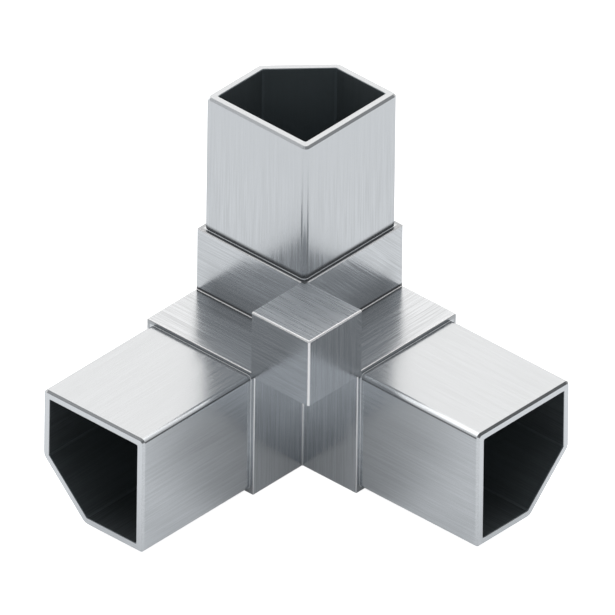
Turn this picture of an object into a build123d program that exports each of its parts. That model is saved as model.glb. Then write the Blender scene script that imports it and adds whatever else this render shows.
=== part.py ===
"""Three way corner connector for square tube.

A one-piece stainless steel casting that joins three square tubes at right angles, as the
corner of a frame, a railing or a stand. Three square legs meet in a hub and end in flat
shoulders. A hollow spigot stands on each shoulder and slides into a tube, and the tube's end
then meets the shoulder, flush with the leg. A square gusset fills the inner corner between the
legs, and its faces are flush with the shoulders.

Lengths are in millimetres. The legs run along +X, +Y and +Z from the crossing of the three tube
axes. The origin lies under that crossing, in the face that the connector stands on.
"""

import os

from build123d import *

# Tube that the connector fits
tube_width = 40.0  # outside width, which the legs share
tube_wall = 1.2
fit_clearance = 0.2  # play across a spigot inside its tube

# Body
collar_length = 20.0  # from the hub's faces to the shoulders
body_edge_radius = 0.3  # along the edges and inner corners of the legs
gusset_edge_radius = 0.5  # the three edges that meet at the gusset's outer corner

# Spigots
spigot_length = 43.5  # from the shoulder to the open end
spigot_wall = 2.5
spigot_edge_radius = 1.5  # long edges, which clear the inner corners of the tube
spigot_cut = 15.7  # leg of the 45 degree cut along the outer long edge
spigot_cut_radius = 3.0  # both long edges of the cut
spigot_foot_radius = 0.15
lead_in = 0.65  # bevel round the open end

# Cores, the hollows that run from each open end to a chamber in the hub
core_edge_radius = 0.5
core_cut_radius = 1.2
mouth_bevel = 0.2
chamber_step = 0.3  # from the sides of a core out to those of the chamber

# Derived sizes
spigot_width = tube_width - 2 * tube_wall - fit_clearance
core_width = spigot_width - 2 * spigot_wall
core_cut = spigot_cut - spigot_wall * (2 - 2**0.5)  # keeps the wall even along the cut
chamber_width = core_width + 2 * chamber_step
shoulder = tube_width / 2 + collar_length  # from the crossing of the axes
spigot_end = shoulder + spigot_length
gusset_start = spigot_width / 2  # in line with the sides of the spigots
gusset_width = shoulder - gusset_start

# Each plane stands across an arm, at the crossing of the axes, with the arm along its normal.
# The hub's outer corner is towards -x and -y in all three.
crossing = (0, 0, tube_width / 2)
x_arm = Plane(origin=crossing, x_dir=(0, 1, 0), z_dir=(1, 0, 0))
y_arm = Plane(origin=crossing, x_dir=(0, 0, 1), z_dir=(0, 1, 0))
z_arm = Plane(origin=crossing, x_dir=(1, 0, 0), z_dir=(0, 0, 1))
arms = (x_arm, y_arm, z_arm)


def diagonal(corner):
    """Place of a corner along the diagonal from the hub's outer corner to the gusset."""
    return corner.X + corner.Y


def cut_square(width, cut, edge_radius, cut_radius):
    """A square section with its (-, -) corner cut off at 45 degrees and its corners rounded."""
    with BuildSketch() as section:
        Rectangle(width, width)
        chamfer(section.vertices().sort_by(diagonal)[0], cut)
        fillet(section.vertices().sort_by(diagonal)[:2], cut_radius)
        fillet(section.vertices().sort_by(diagonal)[-3:], edge_radius)
    return section.sketch


spigot_section = cut_square(spigot_width, spigot_cut, spigot_edge_radius, spigot_cut_radius)
core_section = cut_square(core_width, core_cut, core_edge_radius, core_cut_radius)

with BuildPart() as corner_connector:
    # Legs, each from the hub's far face to its shoulder
    for arm in arms:
        with BuildSketch(arm.offset(-tube_width / 2)):
            Rectangle(tube_width, tube_width)
        extrude(amount=tube_width / 2 + shoulder)
    fillet(corner_connector.edges(), body_edge_radius)

    # Gusset in the inner corner
    with BuildSketch(z_arm.offset(gusset_start)):
        with Locations((gusset_start, gusset_start)):
            Rectangle(gusset_width, gusset_width, align=(Align.MIN, Align.MIN))
    extrude(amount=gusset_width)
    outer_edges = corner_connector.edges().sort_by(lambda edge: sum(edge.center()))[-3:]
    fillet(outer_edges, gusset_edge_radius)

    # Spigots
    for arm in arms:
        with BuildSketch(arm.offset(shoulder)):
            add(spigot_section)
        extrude(amount=spigot_length)
        open_end = corner_connector.faces().sort_by(Axis(arm.origin, arm.z_dir))[-1]
        chamfer(open_end.edges(), lead_in)
    shoulders = corner_connector.faces().filter_by(lambda face: len(face.inner_wires()) == 1)
    fillet([face.inner_wires()[0].edges() for face in shoulders], spigot_foot_radius)

    # Chamber in the hub, and the cores that run into it
    with BuildSketch(z_arm):
        Rectangle(chamber_width, chamber_width)
    extrude(amount=chamber_width / 2, both=True, mode=Mode.SUBTRACT)
    for arm in arms:
        with BuildSketch(arm):
            add(core_section)
        extrude(amount=spigot_end, mode=Mode.SUBTRACT)
        open_end = corner_connector.faces().sort_by(Axis(arm.origin, arm.z_dir))[-1]
        chamfer(open_end.inner_wires()[0].edges(), mouth_bevel)

corner_connector.part.label = "corner_connector"

os.makedirs("parts", exist_ok=True)
export_step(corner_connector.part, "parts/corner_connector.step")
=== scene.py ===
"""Three way corner connector for square tube: a satin brushed stainless steel casting.

The casting comes from the frame as one solid. This script gives it its finish, with painted
highlights and painted shade, and sets it on a plain pale floor in soft studio light, in front of
a camera.
"""

import math

import bpy
from bpy.props import FloatProperty, FloatVectorProperty, PointerProperty
from bpy.types import Operator, Panel, PropertyGroup
from mathutils import Matrix, Vector


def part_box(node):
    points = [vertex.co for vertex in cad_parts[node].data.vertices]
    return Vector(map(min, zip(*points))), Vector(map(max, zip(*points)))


bl_info = {
    "name": "Three Way Corner Connector",
    "version": (1, 0, 0),
    "blender": (4, 5, 0),
    "location": "View3D > Sidebar > Connector",
    "description": "Finish and stage for a three way corner connector for square tube",
    "category": "Object",
}

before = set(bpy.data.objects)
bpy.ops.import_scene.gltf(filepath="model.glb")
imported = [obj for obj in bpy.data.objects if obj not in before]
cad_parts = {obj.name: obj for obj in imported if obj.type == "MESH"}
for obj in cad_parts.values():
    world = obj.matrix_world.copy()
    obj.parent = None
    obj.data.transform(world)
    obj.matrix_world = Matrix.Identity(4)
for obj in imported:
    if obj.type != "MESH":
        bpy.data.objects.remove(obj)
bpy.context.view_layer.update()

CASTING = "corner_connector"

# Places on the casting, in metres. The three arms cross on the tubes' axes.
LOW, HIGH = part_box(CASTING)
LEG_HALF = -LOW.x  # half of a leg's width, which is the tube's
CROSSING = Vector((0.0, 0.0, LEG_HALF))
SHOULDER = 2.0 * LEG_HALF  # from the crossing to the face that a tube meets
ARM_END = HIGH.x  # from the crossing to an open end
GUSSET_START = 0.93 * LEG_HALF  # just inside the faces that the gusset grows from
SPIGOT_HALF = 0.0187  # half of a spigot's width
SPIGOT_FOOT = 0.0002  # height of the foot of a spigot, with its fillet

# How much of a face's normal lies along an axis, from which on the face counts as square to it
SQUARE = 0.9
MOSTLY_SQUARE = 0.7


# Shader node helpers


def new_group(name, inputs, outputs, vectors=()):
    """A shader node group with sockets only, and its input and output nodes.

    inputs are numbers with their defaults, outputs are numbers and vectors are vector outputs.
    """
    group = bpy.data.node_groups.new(name, "ShaderNodeTree")
    for label, value in inputs.items():
        socket = group.interface.new_socket(
            name=label, in_out="INPUT", socket_type="NodeSocketFloat"
        )
        socket.default_value = value
    for labels, kind in ((outputs, "NodeSocketFloat"), (vectors, "NodeSocketVector")):
        for label in labels:
            group.interface.new_socket(name=label, in_out="OUTPUT", socket_type=kind)
    return group, group.nodes.new("NodeGroupInput"), group.nodes.new("NodeGroupOutput")


class Wiring:
    """Adds nodes to a tree and joins them, so that a formula reads as one."""

    def __init__(self, tree):
        self.tree = tree

    def plug(self, source, socket):
        """Joins an output to a socket, or sets the socket if the source is a number."""
        if isinstance(source, bpy.types.NodeSocket):
            self.tree.links.new(source, socket)
        else:
            socket.default_value = source

    def math(self, operation, *values, clamp=False):
        node = self.tree.nodes.new("ShaderNodeMath")
        node.operation = operation
        node.use_clamp = clamp
        for socket, value in zip(node.inputs, values):
            self.plug(value, socket)
        return node.outputs[0]

    def vector(self, operation, *values, output=0):
        node = self.tree.nodes.new("ShaderNodeVectorMath")
        node.operation = operation
        for socket, value in zip(node.inputs, values):
            self.plug(value, socket)
        return node.outputs[output]

    def scaled(self, vector, factor):
        node = self.tree.nodes.new("ShaderNodeVectorMath")
        node.operation = "SCALE"
        self.plug(vector, node.inputs[0])
        self.plug(factor, node.inputs["Scale"])
        return node.outputs[0]

    def dot(self, a, b):
        return self.vector("DOT_PRODUCT", a, b, output="Value")

    def split(self, vector):
        node = self.tree.nodes.new("ShaderNodeSeparateXYZ")
        self.plug(vector, node.inputs[0])
        return list(node.outputs)

    def above(self, value, limit):
        return self.math("GREATER_THAN", value, limit)

    def below(self, value, limit):
        return self.math("LESS_THAN", value, limit)

    def all_of(self, first, *others):
        for other in others:
            first = self.math("MULTIPLY", first, other)
        return first

    def any_of(self, first, *others):
        for other in others:
            first = self.math("MAXIMUM", first, other)
        return first

    def opposite(self, value):
        return self.math("SUBTRACT", 1.0, value)

    def ramp(self, value, low, high, to_low=0.0, to_high=1.0):
        """A smooth step from one level to another."""
        node = self.tree.nodes.new("ShaderNodeMapRange")
        node.interpolation_type = "SMOOTHSTEP"
        for socket, number in zip(node.inputs, (value, low, high, to_low, to_high)):
            self.plug(number, socket)
        return node.outputs[0]

    def pick(self, mask, a, b):
        """a where the mask is 0, b where it is 1."""
        node = self.tree.nodes.new("ShaderNodeMix")
        node.data_type = "FLOAT"
        for socket, value in zip(node.inputs[:1] + node.inputs[2:4], (mask, a, b)):
            self.plug(value, socket)
        return node.outputs[0]

    def blend(self, mask, a, b):
        """Colour a where the mask is 0, colour b where it is 1."""
        node = self.tree.nodes.new("ShaderNodeMix")
        node.data_type = "RGBA"
        for socket, value in zip((node.inputs[0], node.inputs[6], node.inputs[7]), (mask, a, b)):
            self.plug(value, socket)
        return node.outputs[2]

    def size_of(self, value):
        return self.math("ABSOLUTE", value)

    def group(self, group, **values):
        node = self.tree.nodes.new("ShaderNodeGroup")
        node.node_tree = group
        for label, value in values.items():
            self.plug(value, node.inputs[label])
        return node


def on_casting(group):
    """Wiring of a group, the place from the crossing, and its parts and the normal's."""
    w = Wiring(group)
    geometry = group.nodes.new("ShaderNodeNewGeometry")
    place = w.vector("SUBTRACT", geometry.outputs["Position"], CROSSING)
    return w, place, w.split(place), w.split(geometry.outputs["Normal"])


# Sizes and colours that a user would change


class ConnectorFinish(PropertyGroup):
    """Finish of the casting."""

    steel_colour: FloatVectorProperty(
        name="Steel Colour",
        description="Colour of the bare stainless steel",
        subtype="COLOR",
        size=3,
        min=0.0,
        max=1.0,
        default=(0.645, 0.675, 0.706),
    )
    satin: FloatProperty(
        name="Satin",
        description="Roughness of the brushed faces",
        subtype="FACTOR",
        min=0.0,
        max=1.0,
        default=0.21,
    )
    grain_length: FloatProperty(
        name="Grain Length",
        description="Length of one scratch of the brushing",
        subtype="DISTANCE",
        unit="LENGTH",
        min=0.0001,
        default=0.018,
    )
    grain_width: FloatProperty(
        name="Grain Width",
        description="Width of one scratch of the brushing",
        subtype="DISTANCE",
        unit="LENGTH",
        min=0.00001,
        default=0.0003,
    )
    grain_depth: FloatProperty(
        name="Grain Depth",
        description="How far the scratches tip the surface",
        subtype="FACTOR",
        min=0.0,
        max=1.0,
        default=0.055,
    )
    # Darker than the steel: painted shade in the cores, which are also dull
    core_shade_colour: FloatVectorProperty(
        name="Core Shade Colour",
        description="Colour of the dull, unfinished inside",
        subtype="COLOR",
        size=3,
        min=0.0,
        max=1.0,
        default=(0.23, 0.265, 0.285),
    )
    # Lighter than the steel: a painted highlight on the rounded edges of the body
    edge_highlight_colour: FloatVectorProperty(
        name="Edge Highlight Colour",
        description="Colour of the polished edges of the body",
        subtype="COLOR",
        size=3,
        min=0.0,
        max=1.0,
        default=(0.86, 0.87, 0.89),
    )


class ConnectorStage(PropertyGroup):
    """Floor, light and camera."""

    floor_size: FloatProperty(
        name="Floor Size",
        description="Side of the square floor",
        subtype="DISTANCE",
        unit="LENGTH",
        min=0.1,
        default=6.0,
    )
    floor_colour: FloatVectorProperty(
        name="Floor Colour",
        description="Colour of the floor",
        subtype="COLOR",
        size=3,
        min=0.0,
        max=1.0,
        default=(0.54, 0.545, 0.55),
    )
    framed_width: FloatProperty(
        name="Framed Width",
        description="Width of the view",
        subtype="DISTANCE",
        unit="LENGTH",
        min=0.01,
        default=0.1684,
    )
    camera_azimuth: FloatProperty(
        name="Camera Azimuth",
        description="Angle of the camera from +X towards +Y",
        subtype="ANGLE",
        unit="ROTATION",
        default=math.radians(42.03),
    )
    camera_elevation: FloatProperty(
        name="Camera Elevation",
        description="Angle of the camera above the horizon",
        subtype="ANGLE",
        unit="ROTATION",
        default=math.radians(34.08),
    )
    camera_roll: FloatProperty(
        name="Camera Roll",
        description="Turn of the camera about its own axis",
        subtype="ANGLE",
        unit="ROTATION",
        default=math.radians(0.73),
    )


# Node groups of the finish


def brushed_grain():
    """Scratches along each spigot and across each leg, and how plainly they show on a face."""
    group, given, result = new_group(
        "Brushed Grain", {"Length": 0.018, "Width": 0.0003}, ("Scratches", "Depth")
    )
    w, place, (x, y, z), (nx, ny, nz) = on_casting(group)
    past_shoulder = SHOULDER + 0.0001
    on_x, on_y, on_z = (w.above(v, past_shoulder) for v in (x, y, z))
    on_leg = w.opposite(w.any_of(on_x, on_y, on_z))
    face_x, face_y, face_z = (w.all_of(on_leg, w.above(n, MOSTLY_SQUARE)) for n in (nx, ny, nz))
    outer_y = w.all_of(on_leg, w.below(ny, -MOSTLY_SQUARE))
    skin = LEG_HALF + 0.0005  # just outside a leg's face
    y_leg = w.all_of(w.above(y, LEG_HALF), w.below(x, skin), w.below(z, skin))
    z_leg = w.all_of(w.above(z, LEG_HALF), w.below(x, skin))

    # The scratches run along an axis, or on one face of the upright leg between x and z
    along_x = w.any_of(on_x, w.all_of(face_z, y_leg), outer_y)
    along_z = w.any_of(on_z, w.all_of(face_x, y_leg), w.all_of(face_y, w.opposite(z_leg)))
    slant = w.all_of(face_y, z_leg)
    along_y = w.opposite(w.any_of(along_x, along_z, slant))
    diagonal = w.math("MULTIPLY", slant, math.sqrt(0.5))
    join = group.nodes.new("ShaderNodeCombineXYZ")
    w.plug(w.any_of(along_x, diagonal), join.inputs[0])
    w.plug(along_y, join.inputs[1])
    w.plug(w.any_of(along_z, diagonal), join.inputs[2])
    run = join.outputs[0]

    # Noise that is drawn out along the run
    along = w.dot(place, run)
    lengthwise = w.scaled(run, w.math("DIVIDE", along, given.outputs["Length"]))
    across = w.vector("SUBTRACT", place, w.scaled(run, along))
    crosswise = w.scaled(across, w.math("DIVIDE", 1.0, given.outputs["Width"]))
    noise = group.nodes.new("ShaderNodeTexNoise")
    noise.noise_dimensions = "3D"
    w.plug(w.vector("ADD", lengthwise, crosswise), noise.inputs["Vector"])
    for label, value in (("Scale", 1.0), ("Detail", 2.0), ("Roughness", 0.6)):
        noise.inputs[label].default_value = value
    noise_low, noise_high = 0.3, 0.7
    w.plug(w.ramp(noise.outputs["Fac"], noise_low, noise_high), result.inputs["Scratches"])

    leg_depth, flank_depth, level_depth, foot_depth, end_depth = 0.75, 0.5, 0.16, 0.6, 0.2
    upright_depth = w.ramp(z, SHOULDER, ARM_END, foot_depth, end_depth)
    lying_depth = w.pick(w.above(w.size_of(nz), SQUARE), flank_depth, level_depth)
    on_lying = w.any_of(on_x, on_y)
    depth = w.pick(on_lying, w.pick(on_z, leg_depth, upright_depth), lying_depth)
    w.plug(depth, result.inputs["Depth"])
    return group


def body_edges():
    """Masks of the rounded edges of the body, of the upright ones and of the gusset's top ones,
    which get painted highlights.
    """
    group, given, result = new_group(
        "Body Edges", {"Tilt": 0.995, "Crest Band": 0.0006}, ("Mask", "Upright", "Crest")
    )
    w, _, (x, y, z), facing = on_casting(group)
    sizes = [w.size_of(n) for n in facing]
    tilted = w.ramp(w.any_of(*sizes), 1.0, given.outputs["Tilt"])
    past_shoulder = SHOULDER + 0.00002
    on_leg = w.opposite(w.any_of(*(w.above(v, past_shoulder) for v in (x, y, z))))
    edges = w.all_of(tilted, on_leg)
    w.plug(edges, result.inputs["Mask"])
    upright_limit = 0.3  # an upright edge's normal has less than this along z
    w.plug(w.all_of(edges, w.below(sizes[2], upright_limit)), result.inputs["Upright"])
    band = w.math("SUBTRACT", SHOULDER, given.outputs["Crest Band"])
    crest = w.all_of(w.above(x, GUSSET_START), w.above(y, GUSSET_START), w.above(z, band))
    w.plug(w.all_of(edges, crest), result.inputs["Crest"])
    return group


def painted_light_faces():
    """Masks of the painted highlight on the gusset's top, and of the painted shade on the upright
    faces below it and on the spigots' inner flanks.
    """
    group, _, result = new_group("Painted Light Faces", {}, ("Top", "Sides", "Flanks"))
    w, _, (x, y, z), (nx, ny, nz) = on_casting(group)
    outer = SHOULDER + 0.00005
    fade_low, side_fade_high, flank_fade_high = -0.002, 0.01, 0.008  # heights over the axes
    fade_far, fade_near = 0.087, 0.06  # along a spigot

    def inside(v):
        return w.all_of(w.above(v, GUSSET_START), w.below(v, outer))

    between = w.all_of(inside(x), inside(y))
    w.plug(w.all_of(between, inside(z), w.above(nz, SQUARE)), result.inputs["Top"])
    inward = w.above(w.any_of(nx, ny), SQUARE)
    side_fade = w.ramp(z, fade_low, side_fade_high)
    w.plug(w.all_of(between, inward, side_fade), result.inputs["Sides"])
    along = w.any_of(x, y)
    flanks = w.all_of(
        inward,
        w.above(along, SHOULDER + SPIGOT_FOOT),
        w.below(z, LEG_HALF),
        w.ramp(z, fade_low, flank_fade_high),
        w.ramp(along, fade_far, fade_near),
    )
    w.plug(flanks, result.inputs["Flanks"])
    return group


def inner_creases():
    """Masks of the painted dark line of shade at the foot of the upright leg, and of the painted
    shade above it.
    """
    group, given, result = new_group(
        "Inner Creases", {"Line": 0.0011, "Reach": 0.013}, ("Line", "Shade")
    )
    w, _, (x, y, z), (nx, ny, nz) = on_casting(group)
    line, reach = given.outputs["Line"], given.outputs["Reach"]
    height = w.math("SUBTRACT", z, LEG_HALF)
    skin = LEG_HALF + 0.0004
    least_inward, most_upward = 0.3, 0.4  # limits of the normal's parts
    upright = w.all_of(
        w.above(height, 0.0),
        w.below(x, skin),
        w.below(y, skin),
        w.above(w.any_of(nx, ny), least_inward),
        w.below(nz, most_upward),
    )
    full = w.math("MULTIPLY", line, 0.6)
    w.plug(w.all_of(upright, w.ramp(height, line, full)), result.inputs["Line"])
    shade = w.ramp(height, reach, 0.0)
    outer, inner = -0.95 * LEG_HALF, -0.6 * LEG_HALF
    inward = w.ramp(w.math("MINIMUM", x, y), outer, inner)
    w.plug(w.all_of(upright, shade, inward), result.inputs["Shade"])
    return group


def spigot_feet():
    """Masks of each spigot's foot and of the narrow shoulder round it, which get painted shade, and
    of the fillet between, which gets a painted highlight.
    """
    group, given, result = new_group(
        "Spigot Feet",
        {"Upright Height": 0.002, "Lying Height": 0.0006, "Root": 0.0188},
        ("Foot", "Fillet", "Shoulder"),
    )
    w, _, place, facing = on_casting(group)
    fillet_radius, hair, flat = 0.00015, 0.00001, 0.0001
    least_slope, most_slope, foot_slope = 0.12, 0.97, 0.2  # of the normal along the arm
    hidden_shoulder, lying_foot, lying_fillet = 0.7, 0.7, 0.4  # strength of the masks there
    on_top = w.above(place[2], SPIGOT_HALF - fillet_radius)
    feet, fillets, shoulders = [], [], []
    for axis, (along, n) in enumerate(zip(place, facing)):
        upright = axis == 2
        rise = w.math("SUBTRACT", along, SHOULDER)
        height = given.outputs["Upright Height" if upright else "Lying Height"]
        feet.append(
            w.all_of(
                w.above(rise, fillet_radius - hair),
                w.below(n, foot_slope),
                w.ramp(rise, height, w.math("MULTIPLY", height, 0.4)),
                on_top,
                1.0 if upright else lying_foot,
            )
        )
        fillets.append(
            w.all_of(
                w.above(n, least_slope),
                w.below(n, most_slope),
                w.above(rise, 0.2 * hair),
                w.below(rise, fillet_radius + hair),
                on_top,
                1.0 if upright else lying_fillet,
            )
        )
        u, v = place[axis - 1], place[axis - 2]
        shoulders.append(
            w.all_of(
                w.below(w.size_of(rise), flat),
                w.above(n, SQUARE),
                w.below(u, LEG_HALF),
                w.below(v, LEG_HALF),
                w.above(w.any_of(w.size_of(u), w.size_of(v)), given.outputs["Root"]),
                w.pick(on_top, hidden_shoulder, 1.0),
            )
        )
    for label, masks in (("Foot", feet), ("Fillet", fillets), ("Shoulder", shoulders)):
        w.plug(w.any_of(*masks), result.inputs[label])
    return group


def spigot_edges():
    """Masks of the bevel and rim of each open end and of a lying spigot's near top edge, for
    painted light and shade: bevels lit or shaded by facing, lighter rims, and a painted highlight
    and a painted dark reflection line on that edge.

    Bend tips that edge's normal upwards, which makes its rounding look tighter.
    """
    group, given, result = new_group(
        "Spigot Edges",
        {"Lead In": 0.00066},
        ("Bevel", "Bevel Light", "Rim", "Crown", "Line"),
        vectors=("Bend",),
    )
    w, _, place, facing = on_casting(group)
    x, y, z = place
    nx, ny, nz = facing
    start = w.math("SUBTRACT", ARM_END, given.outputs["Lead In"])
    bevels = [
        w.all_of(w.above(along, start), w.above(n, 0.4), w.below(n, SQUARE))
        for along, n in zip(place, facing)
    ]
    lying = w.all_of(w.any_of(*bevels[:2]), w.above(nz, 0.5))
    w.plug(w.any_of(lying, bevels[2]), result.inputs["Bevel"])
    # Painted light and shade on the bevels, by which way they face and whether the spigot lies
    towards_y = w.above(ny, 0.4)
    upright_bevel_light, lying_bevel_light = (1.0, 0.49), (0.53, 0.1)
    bevel_lights = (w.pick(towards_y, *pair) for pair in (upright_bevel_light, lying_bevel_light))
    w.plug(w.pick(lying, *bevel_lights), result.inputs["Bevel Light"])
    corner = 0.017  # the rounding lies farther than this from the spigot's axis
    lean = 0.02  # and its normal leans more than this to both sides
    crown_low, crown_high = 0.06, 0.16  # over the painted dark reflection line
    crown_end, bend_end, line_blur = (0.97, 0.9), (0.95, 0.7), (0.19, 0.09)
    crowns, lines, bends, rims = [], [], [], []
    # level is where the painted dark reflection line lies on the rounding, as the normal's part
    # along z
    for along, across, n, level, bend in ((x, y, ny, 0.35, 0.45), (y, x, nx, 0.15, 0.75)):
        on_edge = w.all_of(
            w.above(along, SHOULDER + SPIGOT_FOOT),
            w.below(along, start),
            w.above(across, corner),
            w.above(z, corner),
            w.above(nz, lean),
            w.above(n, lean),
        )
        crown = w.all_of(on_edge, w.ramp(nz, level + crown_low, level + crown_high))
        crowns.append(w.all_of(crown, w.ramp(nz, *crown_end)))
        bends.append(w.all_of(crown, w.ramp(nz, *bend_end), bend))
        off = w.size_of(w.math("SUBTRACT", nz, level))
        lines.append(w.all_of(on_edge, w.ramp(off, *line_blur)))
        rims.append(w.all_of(w.above(along, ARM_END - 0.00005), w.below(n, 0.5)))
    for label, masks in (("Rim", rims), ("Crown", crowns), ("Line", lines)):
        w.plug(w.any_of(*masks), result.inputs[label])
    w.plug(w.scaled((0.0, 0.0, 1.0), w.any_of(*bends)), result.inputs["Bend"])
    return group


def core_walls():
    """Masks of the walls of the cores and the chamber, and of the folds where two walls meet, for
    the painted shade inside and the painted light on the cut walls and folds.
    """
    group, given, result = new_group(
        "Core Walls",
        {"Half Width": 0.01632, "Cut": -0.0184, "Chamber": 0.0167},
        ("Mask", "Mouth", "Cut Wall", "Fold"),
    )
    w, _, (x, y, z), facing = on_casting(group)
    middle = w.any_of(*(w.size_of(v) for v in (x, y, z)))
    inside = [w.below(middle, given.outputs["Chamber"])]
    for along, u, v in ((x, y, z), (y, z, x), (z, x, y)):
        inside.append(
            w.all_of(
                w.below(w.any_of(w.size_of(u), w.size_of(v)), given.outputs["Half Width"]),
                w.above(w.math("ADD", u, v), given.outputs["Cut"]),
                w.above(along, 0.0),
            )
        )
    w.plug(w.any_of(*inside), result.inputs["Mask"])
    w.plug(w.ramp(w.any_of(x, y), SHOULDER, ARM_END), result.inputs["Mouth"])
    squareness = w.any_of(*(w.size_of(n) for n in facing))
    slanting, straight = 0.72, 0.99
    w.plug(w.below(squareness, slanting), result.inputs["Cut Wall"])
    fold = w.all_of(w.above(squareness, slanting), w.below(squareness, straight))
    w.plug(fold, result.inputs["Fold"])
    return group


def brushed_stainless(finish):
    """Satin brushed stainless steel, dull and painted darker in the cores as shade, with painted
    highlights along the edges of the body and painted light and shade elsewhere.
    """
    material = bpy.data.materials.new("brushed_stainless")
    material.use_nodes = True
    tree = material.node_tree
    tree.nodes.clear()
    w = Wiring(tree)
    output = tree.nodes.new("ShaderNodeOutputMaterial")
    shader = tree.nodes.new("ShaderNodeBsdfPrincipled")
    tree.links.new(shader.outputs[0], output.inputs[0])
    shader.inputs["Metallic"].default_value = 1.0
    grain = w.group(brushed_grain(), Length=finish.grain_length, Width=finish.grain_width)
    scratches = grain.outputs["Scratches"]
    body = w.group(body_edges()).outputs
    painted_faces = w.group(painted_light_faces()).outputs
    creases = w.group(inner_creases()).outputs
    feet = w.group(spigot_feet()).outputs
    ends = w.group(spigot_edges()).outputs
    cores = w.group(core_walls()).outputs
    steel, edge, core = finish.steel_colour, finish.edge_highlight_colour, finish.core_shade_colour

    def shade(colour, factor):
        return tuple(factor * c for c in colour) + (1.0,)

    def shades(mask, colour, low, high):
        """One shade of a colour where the mask is 0, and another where it is 1."""
        return w.blend(mask, shade(colour, low), shade(colour, high))

    # Outside, from the plain faces to the finest edges, with painted light and shade laid over the
    # grain
    gleam = w.math("MULTIPLY_ADD", w.math("SUBTRACT", scratches, 0.5), grain.outputs["Depth"], 0.5)
    colour = shades(gleam, steel, 0.85, 1.15)
    # Painted highlight: the gusset's top is lighter
    colour = w.blend(painted_faces["Top"], colour, shades(gleam, steel, 1.1, 1.4))
    flank_shade, side_shade = 0.32, 0.5
    flanks = w.math("MULTIPLY", painted_faces["Flanks"], flank_shade)
    sides = w.math("MULTIPLY", painted_faces["Sides"], side_shade)
    for mask, metal, factor in (
        # Painted shade on the spigots' inner flanks, above the upright leg's crease and on the
        # faces under the gusset
        (flanks, steel, 0.66),
        (w.any_of(creases["Shade"], sides), steel, 0.66),
        # Painted highlights on the rounded edges of the body, brighter on the upright ones and
        # along the gusset's top
        (body["Mask"], edge, 1.0),
        (body["Upright"], edge, 1.12),
        (body["Crest"], edge, 1.1),
        # Painted shade: a dark line at the upright leg's crease, a dark band at each spigot's foot
        # and a darker shoulder; a painted highlight on the fillet
        (creases["Line"], steel, 0.2),
        (feet["Foot"], steel, 0.34),
        (feet["Fillet"], steel, 1.4),
        (feet["Shoulder"], steel, 0.68),
        # Painted highlight on the crown and rim of the lying spigots, and a painted dark reflection
        # line on their near top edge
        (ends["Crown"], steel, 1.25),
        (ends["Line"], steel, 0.3),
        (ends["Rim"], steel, 1.1),
    ):
        colour = w.blend(mask, colour, shade(metal, factor))
    # Painted light and shade on the end bevels, by which way they face
    colour = w.blend(ends["Bevel"], colour, shades(ends["Bevel Light"], steel, 0.3, 1.4))

    # Inside, painted shade that is darker towards the mouths of the lying spigots, with painted
    # light on the cut walls and folds
    mouth = cores["Mouth"]
    wall = shades(mouth, core, 1.0, 0.5)
    wall = w.blend(cores["Cut Wall"], wall, shades(mouth, core, 1.3, 0.7))
    wall = w.blend(cores["Fold"], wall, shades(mouth, core, 1.5, 0.9))
    streaks = w.math("MULTIPLY", scratches, 0.2)
    wall = w.blend(streaks, wall, shade(core, 1.5))
    colour = w.blend(cores["Mask"], colour, wall)
    w.plug(colour, shader.inputs["Base Color"])

    # Roughness between the scratches and in them, on most faces and on the gusset's top
    between, within = 0.8 * finish.satin, 1.25 * finish.satin
    top_between, top_within = 0.26, 0.36
    edge_roughness, core_roughness = 0.45, 0.7
    rough = w.pick(scratches, between, within)
    rough = w.pick(painted_faces["Top"], rough, w.pick(scratches, top_between, top_within))
    rough = w.pick(body["Mask"], rough, edge_roughness)
    rough = w.pick(cores["Mask"], rough, core_roughness)
    w.plug(rough, shader.inputs["Roughness"])

    bump = tree.nodes.new("ShaderNodeBump")
    bump.inputs["Strength"].default_value = finish.grain_depth
    bump.inputs["Distance"].default_value = 0.0001
    w.plug(gleam, bump.inputs["Height"])
    normal = w.vector("NORMALIZE", w.vector("ADD", bump.outputs[0], ends["Bend"]))
    w.plug(normal, shader.inputs["Normal"])
    return material


class CONNECTOR_OT_finish_casting(Operator):
    """Give the casting its brushed stainless steel"""

    bl_idname = "connector.finish_casting"
    bl_label = "Finish Casting"

    def execute(self, context):
        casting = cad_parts[CASTING]
        material = brushed_stainless(context.scene.connector_finish)
        for slot in casting.material_slots:
            slot.link = "OBJECT"
            slot.material = material
        return {"FINISHED"}


# Stage

WHITE = (1.0, 1.0, 1.0, 1.0)
FLOOR_GAP = 0.0001  # keeps the floor clear of the casting's underside
CAMERA_DISTANCE = 0.5
AIM = Vector((0.002453, 0.010907, 0.0))  # from the crossing to the middle of the view


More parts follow.
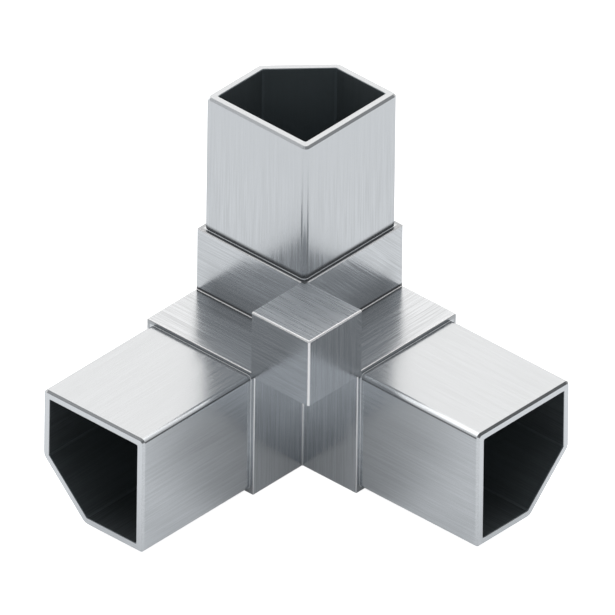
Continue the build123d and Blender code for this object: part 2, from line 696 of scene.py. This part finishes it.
def studio_light():
    """World light: a soft light overhead, pale on the far side and dim on the near side."""
    world = bpy.data.worlds.new("studio")
    world.use_nodes = True
    tree = world.node_tree
    tree.nodes.clear()
    w = Wiring(tree)
    direction = w.vector("NORMALIZE", tree.nodes.new("ShaderNodeTexCoord").outputs["Generated"])
    light_path = tree.nodes.new("ShaderNodeLightPath").outputs
    near_axis = Vector((0.645, 0.76, 0.25)).normalized()
    far_edge, near_edge = -0.45, 0.2
    side = w.ramp(w.dot(direction, near_axis), far_edge, near_edge)

    # The metal shows the near side with a dark horizon. Matt surfaces are lit evenly by both.
    far_level, even_level = 1.14, 1.0
    horizon_tilt, high_tilt = 0.12, 0.52
    horizon_level, high_level = 0.09, 0.34
    tilt = w.size_of(w.split(direction)[2])
    near_level = w.ramp(tilt, horizon_tilt, high_tilt, horizon_level, high_level)
    level = w.pick(side, far_level, near_level)
    level = w.pick(light_path["Is Diffuse Ray"], level, even_level)

    lamp_axis = Vector((-0.15, -0.13, 0.98)).normalized()
    lamp_edge, lamp_core = (math.cos(math.radians(angle)) for angle in (40, 15))
    lamp_level = 0.85
    lamp = w.ramp(w.dot(direction, lamp_axis), lamp_edge, lamp_core, 0.0, lamp_level)
    level = w.math("ADD", level, lamp)

    seen = light_path["Is Camera Ray"]
    background = tree.nodes.new("ShaderNodeBackground")
    w.plug(w.pick(seen, level, 1.0), background.inputs["Strength"])
    warm = (1.035, 1.0, 0.965, 1.0)
    tint = w.blend(side, warm, WHITE)
    w.plug(w.blend(seen, tint, WHITE), background.inputs["Color"])
    output = tree.nodes.new("ShaderNodeOutputWorld")
    tree.links.new(background.outputs[0], output.inputs[0])
    return world


def pale_floor(stage):
    """Matt floor that reads as white, keeps the casting's shadow and is clear from below. The glow
    that the metal mirrors has a painted shadow round the inner corner.
    """
    material = bpy.data.materials.new("pale_floor")
    material.use_nodes = True
    tree = material.node_tree
    tree.nodes.clear()
    w = Wiring(tree)
    output = tree.nodes.new("ShaderNodeOutputMaterial")
    shader = tree.nodes.new("ShaderNodeBsdfPrincipled")
    shader.inputs["Base Color"].default_value = tuple(stage.floor_colour) + (1.0,)
    shader.inputs["Roughness"].default_value = 0.9
    shader.inputs["Specular IOR Level"].default_value = 0.0
    shader.inputs["Emission Color"].default_value = WHITE
    light_path = tree.nodes.new("ShaderNodeLightPath").outputs
    geometry = tree.nodes.new("ShaderNodeNewGeometry").outputs

    # The glow in the metal fades towards the inner corner between the lying arms: a painted shadow
    corner = Vector((1.4 * LEG_HALF, 1.4 * LEG_HALF, LOW.z))
    distance = w.vector("DISTANCE", geometry["Position"], corner, output="Value")
    inner, outer = 0.6 * LEG_HALF, 1.7 * LEG_HALF
    shadowed_glow, full_glow, seen_glow = 0.04, 0.24, 0.9
    mirrored_glow_and_shadow = w.ramp(distance, inner, outer, shadowed_glow, full_glow)
    seen = light_path["Is Camera Ray"]
    mirrored = w.any_of(light_path["Is Glossy Ray"], light_path["Is Transmission Ray"])
    glow = w.any_of(w.all_of(seen, seen_glow), w.all_of(mirrored, mirrored_glow_and_shadow))
    w.plug(glow, shader.inputs["Emission Strength"])

    clear = tree.nodes.new("ShaderNodeBsdfTransparent")
    mix = tree.nodes.new("ShaderNodeMixShader")
    w.plug(geometry["Backfacing"], mix.inputs[0])
    tree.links.new(shader.outputs[0], mix.inputs[1])
    tree.links.new(clear.outputs[0], mix.inputs[2])
    tree.links.new(mix.outputs[0], output.inputs[0])
    return material


class CONNECTOR_OT_set_stage(Operator):
    """Add the pale floor, the studio light and the camera"""

    bl_idname = "connector.set_stage"
    bl_label = "Set Stage"

    def execute(self, context):
        stage = context.scene.connector_stage
        scene = context.scene
        side = stage.floor_size / 2
        mesh = bpy.data.meshes.new("floor")
        corners = [(-side, -side, 0), (side, -side, 0), (side, side, 0), (-side, side, 0)]
        mesh.from_pydata(corners, [], [(0, 1, 2, 3)])
        mesh.materials.append(pale_floor(stage))
        floor = bpy.data.objects.new("floor", mesh)
        floor.location.z = LOW.z - FLOOR_GAP
        scene.collection.objects.link(floor)

        scene.world = studio_light()
        scene.view_settings.view_transform = "Standard"

        azimuth, elevation = stage.camera_azimuth, stage.camera_elevation
        back = Vector(
            (
                math.cos(elevation) * math.cos(azimuth),
                math.cos(elevation) * math.sin(azimuth),
                math.sin(elevation),
            )
        )
        turn = back.to_track_quat("Z", "Y").to_matrix() @ Matrix.Rotation(stage.camera_roll, 3, "Z")
        aim = CROSSING + turn @ AIM
        data = bpy.data.cameras.new("camera")
        data.type = "ORTHO"
        data.ortho_scale = stage.framed_width
        data.clip_end = 10.0
        camera = bpy.data.objects.new("camera", data)
        camera.matrix_world = Matrix.Translation(aim + CAMERA_DISTANCE * back) @ turn.to_4x4()
        scene.collection.objects.link(camera)
        scene.camera = camera
        return {"FINISHED"}


class CONNECTOR_PT_panel(Panel):
    """Sidebar panel of the corner connector"""

    bl_idname = "CONNECTOR_PT_panel"
    bl_label = "Corner Connector"
    bl_space_type = "VIEW_3D"
    bl_region_type = "UI"
    bl_category = "Connector"

    def draw(self, context):
        layout = self.layout
        for settings in (context.scene.connector_finish, context.scene.connector_stage):
            box = layout.box()
            for name in settings.__annotations__:
                box.prop(settings, name)
        layout.operator(CONNECTOR_OT_finish_casting.bl_idname)
        layout.operator(CONNECTOR_OT_set_stage.bl_idname)


CLASSES = (
    ConnectorFinish,
    ConnectorStage,
    CONNECTOR_OT_finish_casting,
    CONNECTOR_OT_set_stage,
    CONNECTOR_PT_panel,
)


def register():
    for cls in CLASSES:
        bpy.utils.register_class(cls)
    bpy.types.Scene.connector_finish = PointerProperty(type=ConnectorFinish)
    bpy.types.Scene.connector_stage = PointerProperty(type=ConnectorStage)


def unregister():
    del bpy.types.Scene.connector_stage
    del bpy.types.Scene.connector_finish
    for cls in reversed(CLASSES):
        bpy.utils.unregister_class(cls)


def main():
    register()
    bpy.ops.connector.finish_casting()
    bpy.ops.connector.set_stage()


if __name__ == "__main__":
    main()
